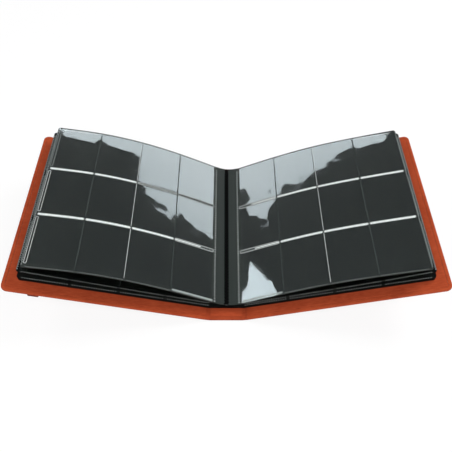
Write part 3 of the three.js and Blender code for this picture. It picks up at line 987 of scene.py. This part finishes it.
def dress_leaf(name, side, sign, nodes, film_nodes):
    """Builds sheet, film and welds of one raised leaf."""
    line = LINES[name]
    on_top = name.endswith("top_leaf")
    border = FILM_BORDER["top" if on_top else "second"]
    film_end = LEAF_END - border
    # The second leaf's sheet is the darker stacked sheet: painted shade under the top leaf.
    sheet = leaf_sheet(f"{name}_sheet", line, sign, leaf_stations(0.4, LEAF_END, 8), 5,
                       (-LEAF_HALF, LEAF_HALF), SHEET if on_top else SHADED_STACK_SHEET)
    film = leaf_sheet(f"{name}_film", line, sign, leaf_stations(1.0, film_end, 3.0), 91,
                      FILM_LIFTS, FILM, film_wave(FILM_SHIFTS[side]), border)
    welds = {"grey": [], "bright": [], "faint": []}
    row_welds(name, on_top, welds)
    column_welds(name, on_top, welds)
    edge_welds(on_top, welds)
    faces_used = (1, -1) if on_top else (1,)
    ribs, bright, faint = (
        finish_mesh(f"{name}_{label}", *joined(
            [bent(line, sign, (part[0] * (1, 1, way), part[1]), lift * way)
             for way in faces_used for part, lift in welds[kind]]), material, 60)
        for label, kind, material in (("ribs", "grey", GREY_WELD), ("welds", "bright", WELD),
                                      ("faint_welds", "faint", FAINT_WELD)))
    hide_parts(*nodes)
    dressed = [film, bright, faint, ribs]
    if film_nodes:
        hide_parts(*film_nodes)
    if on_top:
        back_wave = film_wave(FILM_SHIFTS["back"])
        dressed.append(leaf_sheet(
            f"{name}_back_film", line, sign, leaf_stations(1.0, film_end, 5.0), 55,
            (-FILM_LIFTS[1], -FILM_LIFTS[0]), FILM, lambda s, y: -back_wave(s, y), border))
    fold = on_leaf(line, sign, [2 * PITCH - 3, 2 * PITCH + 3], 0, 0) * MM
    for piece, slot in ((sheet, "leaf_sheet"), *((piece, "pocket_film") for piece in dressed)):
        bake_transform(piece)
    return sheet, *dressed


for side, sign in SIDES:
    top = f"{side}_top_leaf"
    made = dress_leaf(top, side, sign,
                      (f"{top}_inner_sheet", f"{top}_outer_sheet"),
                      (f"{top}_inner_film", f"{top}_outer_film"))
    print(top, [len(piece.data.polygons) for piece in made])
    second = f"{side}_second_leaf"
    made = dress_leaf(second, side, sign,
                      (f"{second}_inner", f"{second}_outer"), ())
    print(second, [len(piece.data.polygons) for piece in made])

# %% Tail welds of the uppermost lower leaf
for side, sign in SIDES:
    line = PACK_LINES[-1]
    first_weld = line["s"][-1] - LEAF_END
    # The dots get the bright weld colour, with its painted highlight.
    dots = flat_welds(*TAIL_DOTS, 0.0, 4, 1, (first_weld + 2.6, FIRST_ROW - 0.1, 0), WELD)
    dotted = finish_mesh(f"{side}_leaf_03_tail_weld", *bent(line, sign, dots, 0.25), WELD, 60)
    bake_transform(dotted)
    print(side, "tail dots", len(dotted.data.polygons), "faces")

# %% [markdown]
# ## Margins and seam
#
# The plain margin of the top leaf bends where it leaves the seam.
# A ribbed weld of bright dots runs down it beside the first column; their brightness is partly a
# painted highlight. The seam itself is pressed with a black band, and teeth that stand left and
# right of it in turn make its edges run zigzag.

# %% Top leaf margins
MARGIN_FROM = -17.3  # where the margin's sheet starts, beside the seam
SAG = 0.8
DASH_PITCH = 4.6


def margin_sag(s, y):
    """How far the margin sags between the seam and its dotted weld."""
    share = np.clip((s - MARGIN_FROM) / 13.3, 0, 1)
    return -SAG * np.sin(math.pi * share)


for side, sign in SIDES:
    name = f"{side}_top_leaf"
    line = LINES[name]
    margin = leaf_sheet(f"{name}_margin_sheet", line, sign, np.linspace(MARGIN_FROM, 0.2, 19), 5,
                        (-0.3, 0.3), MARGIN_SHEET, margin_sag)
    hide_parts(f"{name}_margin")
    dashes = [bent(line, sign, tail_to_head(one_ridge(0.4, half_length, 0.25),
                                            (column, LEAF_TAIL + 3, 0), DASH_PITCH, 6), 0.32)
              for column, half_length in ((-2.7, 0.7), (-1.5, 1.25))]
    # The dashes get the bright weld colour, with its painted highlight.
    knurl = finish_mesh(f"{name}_margin_knurl", *joined(dashes), WELD, 60)
    for piece, slot in ((margin, "leaf_sheet"), (knurl, "pocket_film")):
        start = on_leaf(line, sign, -17.2, 0, 0) * MM
        end = on_leaf(line, sign, -1.0, 0, 0) * MM
        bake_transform(piece)
    print(name, "margin knurl", len(knurl.data.polygons), "faces")

# %% Binding seam and block
KNURL_PITCH = 5.4
BLOCK_TOP = 12.2
FOLDS = 9  # folded leaves that show on each side of the block
SEAM_RINGS = ((0.3, -0.5), (0, -0.2), (0, 0.2), (0.3, 0.42))  # inset, height over the middle


def box_ring(x, inset, z):
    """A ring round the seam, with its long sides at -x and x."""
    return [(-x, LEAF_TAIL + inset, z), (x, LEAF_TAIL + inset, z),
            (x, LEAF_HEAD - inset, z), (-x, LEAF_HEAD - inset, z)]


strip_rings = [box_ring(SEAM_HALF - 0.25 - inset, inset, SEAM_HEIGHT + height)
               for inset, height in SEAM_RINGS]
seam = finish_mesh("seam_strip", *ring_stack(strip_rings), SEAM_BASE, 45)
band_points, band_faces = along_y(0, LEAF_TAIL + 0.4, LEAF_HEAD - 0.4, 4.0, 0.75)
band = finish_mesh("seam_band", band_points + np.array([0, 0, SEAM_HEIGHT + 0.42]), band_faces,
                   BINDING, 60)
teeth = [tail_to_head(flat_bar([(way * 1.0, 0), (way * 3.7, 0)], 2.8, 0.6),
                      (0, LEAF_TAIL + 1.8 + shift, SEAM_HEIGHT + 1.1), KNURL_PITCH, 4)
         for way, shift in ((-1, 0), (1, KNURL_PITCH / 2))]
knurl = finish_mesh("seam_knurl", *joined(teeth), BINDING, 60)
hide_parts("binding_seam")

profile = [(2.1, BLOCK_TOP), BLOCK_SHOULDER]
(foot_x, foot_z), (top_x, top_z) = BLOCK_FOOT, BLOCK_SHOULDER
for k in range(FOLDS):
    for share, x, z in (((k + 0.25) / FOLDS, -0.35, -0.15), ((k + 1) / FOLDS, -0.05, 0.12)):
        profile.append((top_x + (foot_x - top_x) * share + x, top_z - (top_z - foot_z) * share + z))
outline = profile + [(-x, z) for x, z in reversed(profile)]
block = finish_mesh(
    "folded_leaf_block",
    *ring_stack([[(x, y, z) for x, z in outline] for y in (LEAF_TAIL, LEAF_HEAD)]), BINDING, 20)
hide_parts("binding_block")
for piece in (seam, band, knurl, block):
    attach(piece, "spine")
print("seam", len(seam.data.polygons), "faces, block", len(block.data.polygons))

# %% [markdown]
# ## Elastic strap
#
# The strap lies on the outside of the left cover. Its ends are folded over the cover's edge under a
# small leather tab, so they stay with the cover while the middle can be pulled away. The strap is
# made in two halves.

# %% Elastic strap
STRAP_OUT = COVER_WIDTH - 43
STRAP_REACH = HALF_HEIGHT - 9.3
STRAP_SECTION = (  # across the strap, and how much thinner each of its faces is there
    (-6.5, 0.25), (-5.7, 0.05), (-2.2, 0), (2.2, 0), (5.7, 0.05), (6.5, 0.25))
STRAP_ENDS = (("tail", -1), ("head", 1))
for end, way in STRAP_ENDS:
    stations = np.concatenate([np.linspace(0, STRAP_REACH - 10, 12),
                               np.linspace(STRAP_REACH - 9, STRAP_REACH, 4)])
    upper, lower = (
        np.array([[cover_point(-1, STRAP_OUT + a, way * y, height + inward * thinner)
                   for a, thinner in STRAP_SECTION] for y in stations])
        for height, inward in ((-0.35, -1), (-1.5, 1)))
    # The strap's dark reds are painted shade.
    strap = finish_mesh(f"elastic_strap_{end}", *closed_sheet(upper, lower), SHADED_ELASTIC, 40)
    uv = strap.data.uv_layers.new(name="along")
    for loop in strap.data.loops:
        point = strap.data.vertices[loop.vertex_index].co
        uv.data[loop.index].uv = (point.y / MM, point.x / MM / math.cos(TILT))
    if end == "tail":
        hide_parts("elastic_strap")
    start = Vector(cover_point(-1, STRAP_OUT, way * STRAP_REACH, -0.9)) * MM
    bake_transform(strap)
    print("strap half", end, round(STRAP_REACH, 1), "mm")

# %% Strap ends
TAB_RINGS = ((0.8, -3.2), (0.25, -3.05), (0, -2.6), (0, -0.9), (0.25, -0.45), (0.8, -0.32))
TAB_CORNER = 1.2
for end, way in STRAP_ENDS:
    levels = []
    for inset, height in TAB_RINGS:
        half, far, near = 7.5 - inset, HALF_HEIGHT - inset, HALF_HEIGHT - 9 + inset
        side, top, foot = half - TAB_CORNER, far - TAB_CORNER, near + TAB_CORNER
        ring = [(-side, far), (side, far), (half, top), (half, foot),
                (side, near), (-side, near), (-half, foot), (-half, top)]
        levels.append([cover_point(-1, STRAP_OUT + a, way * y, height) for a, y in ring])
    # The tab's dark leather is painted shade.
    tab = finish_mesh(f"strap_end_{end}", *ring_stack(levels), SHADED_ANCHOR, 50)
    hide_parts(f"strap_anchor_{end}")
    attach(tab, "left_cover")
print("strap ends ready")

# %% [markdown]
# ## Floor and light
#
# The photo shows the album on plain white. The floor is pale and keeps a faint shadow, and only the
# camera sees it brightened towards white. The light is a large soft box above and in front and two
# smaller ones behind, which the film doesn't mirror. What the film does mirror are two lit cards: a
# backdrop behind the album, whose outline gives the bright patches their edges, and a small card on
# the left for the patch at the tail of the right page. The bright surround is for the camera alone.
# The film mirrors the dim room instead, which keeps the other pockets dark as in the photo.

# %% Floor
def flat_face(name, corners, material):
    """A single face in the scene."""
    mesh = bpy.data.meshes.new(name)
    mesh.from_pydata(corners, [], [tuple(range(len(corners)))])
    mesh.materials.append(material)
    return add_object(name, mesh)


def mixed_surface(tree, share, low, high, output):
    """Sends a mix of two shaders to the tree's output node."""
    mix = tree.nodes.new("ShaderNodeMixShader")
    for socket, value in zip(mix.inputs, (share, low, high)):
        plug(tree, socket, value)
    plug(tree, tree.nodes[output].inputs["Surface"], mix.outputs[0])


FLOOR, floor_tree, floor_shader = new_finish(
    "floor_paper", Base_Color=(0.9, 0.9, 0.9, 1), Roughness=1.0)
path = add_node(floor_tree, "ShaderNodeLightPath")
glow = add_node(floor_tree, "ShaderNodeEmission", Color=(1, 1, 1, 1), Strength=1.0)
brightened = calculated(floor_tree, "MULTIPLY", path.outputs["Is Camera Ray"], 0.85)
mixed_surface(floor_tree, brightened, floor_shader.outputs[0], glow.outputs[0], "Material Output")
floor = flat_face("studio_floor", [(-4, -4, 0), (4, -4, 0), (4, 4, 0), (-4, 4, 0)], FLOOR)
print("floor 8 m square")


# %% Lamps
def softbox(name, place, size, power):
    """A rectangular area lamp that looks at the middle of the album's foot."""
    data = bpy.data.lights.new(name, "AREA")
    data.shape = "RECTANGLE"
    data.size, data.size_y = size
    data.energy = power
    lamp = add_object(name, data)
    lamp.location = place
    lamp.rotation_euler = Vector(place).to_track_quat("Z", "Y").to_euler()
    return lamp


softbox("front_softbox", (0, -1.55, 1.95), (2.2, 1.4), 52)
for side, sign, power in (("left", -1, 16), ("right", 1, 36)):
    rear = softbox(f"{side}_rear_softbox", (sign * 1.5, 0.9, 1.7), (1.2, 0.8), power)
    rear.visible_glossy = False
    rear.visible_transmission = False


# %% Bright cards
def bright_card(name, corners, strength):
    """A flat lit card that only shows in glossy pieces."""
    lit, _, shader = new_finish(f"{name}_glow", Base_Color=(1, 1, 1, 1), Roughness=1.0)
    shader.inputs["Emission Color"].default_value = (1, 1, 1, 1)
    shader.inputs["Emission Strength"].default_value = strength
    card = flat_face(name, corners, lit)
    card.visible_diffuse = False
    card.visible_camera = False

BACKDROP_Y = 2.0
BACKDROP_OUTLINE = [  # x and z, over the top from left to right and back below
    (-1.49, 1.15), (-1.53, 1.42), (-1.6, 1.58), (-1.64, 1.72), (-1.6, 1.89), (-1.48, 1.8),
    (-1.35, 1.74), (-1.28, 1.73), (-1.03, 1.84), (-0.74, 1.86), (-0.4, 1.9), (0.1, 1.87),
    (0.45, 1.8), (0.77, 1.72), (0.83, 1.84), (0.88, 1.9), (1.15, 1.87), (1.5, 1.78),
    (1.8, 1.68), (2.1, 1.56), (2.15, 1.46), (1.6, 1.02), (1.3, 1.1), (1.0, 1.31), (0.7, 1.47),
    (0.3, 1.64), (-0.3, 1.64), (-0.7, 1.48), (-1.0, 1.32), (-1.3, 1.14),
]
bright_card("studio_backdrop", [(x, BACKDROP_Y, z) for x, z in BACKDROP_OUTLINE], 4.25)
bright_card("side_card", [
    (-1.39, 0.994, 1.277), (-1.357, 1.063, 1.268), (-1.313, 1.13, 1.267),
    (-1.267, 1.218, 1.254), (-1.256, 1.169, 1.291), (-1.226, 1.132, 1.334),
    (-1.164, 1.08, 1.416), (-1.153, 1.003, 1.465)], 7.0)
print("backdrop corners:", len(BACKDROP_OUTLINE))

# %% World
world = bpy.data.worlds.new("studio")
scene.world = world
world.use_nodes = True
world_tree = world.node_tree
room = world_tree.nodes["Background"]
room.inputs["Color"].default_value = (0.95, 0.97, 1, 1)
room.inputs["Strength"].default_value = 0.16
surround = add_node(world_tree, "ShaderNodeBackground", Color=(1, 1, 1, 1), Strength=0.88)
seen = add_node(world_tree, "ShaderNodeLightPath")
mixed_surface(world_tree, seen.outputs["Is Camera Ray"], room.outputs[0], surround.outputs[0],
              "World Output")
print("world:", len(world_tree.nodes), "nodes")
